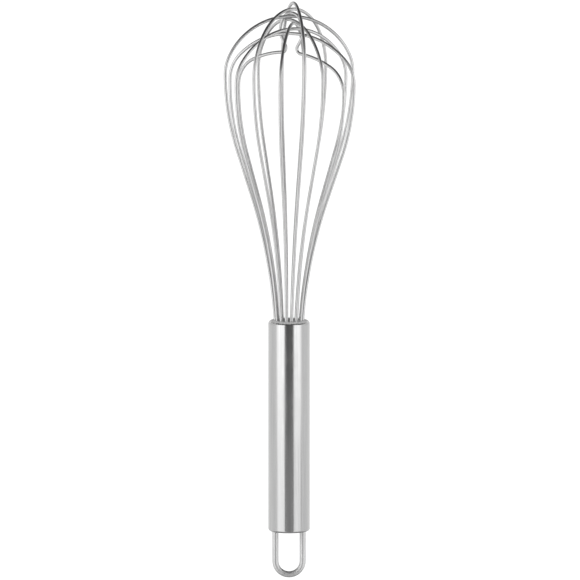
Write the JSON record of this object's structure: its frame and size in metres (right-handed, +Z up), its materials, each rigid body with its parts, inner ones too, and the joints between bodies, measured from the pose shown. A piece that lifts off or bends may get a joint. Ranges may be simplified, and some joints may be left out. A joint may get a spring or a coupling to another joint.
{
  "type": "balloon whisk",
  "caption": "Balloon whisk: spring-wire loops crossing at a clasped crown, set in a plain brushed tube handle with a wire hanging loop.",
  "frame": {"origin": "centre of the hanging loop's bend, on the handle's axis", "axes": "+Z up the handle's axis, from the hanging loop to the crown of the wire head; Y through the hanging loop's eye"},
  "size_m": [0.068, 0.068, 0.2999],
  "materials": {
    "spring_wire": "satin",
    "brushed_tube": "satin",
    "loop_wire": "gloss",
    "cap_steel": "satin",
    "seal_resin": "satin"
  },
  "bodies": {
    "root": {"wire_loop_1": "spring_wire", "wire_loop_2": "spring_wire", "wire_loop_3": "spring_wire", "wire_loop_4": "spring_wire", "wire_loop_5": "spring_wire", "wire_loop_6": "spring_wire", "wire_loop_7": "spring_wire", "wire_loop_8": "spring_wire", "handle_tube": "brushed_tube", "hanging_loop": "loop_wire", "end_cap": "cap_steel", "anchor_disc": "cap_steel", "core_plug": "cap_steel", "mouth_seal": "seal_resin"}
  },
  "joints": []
}
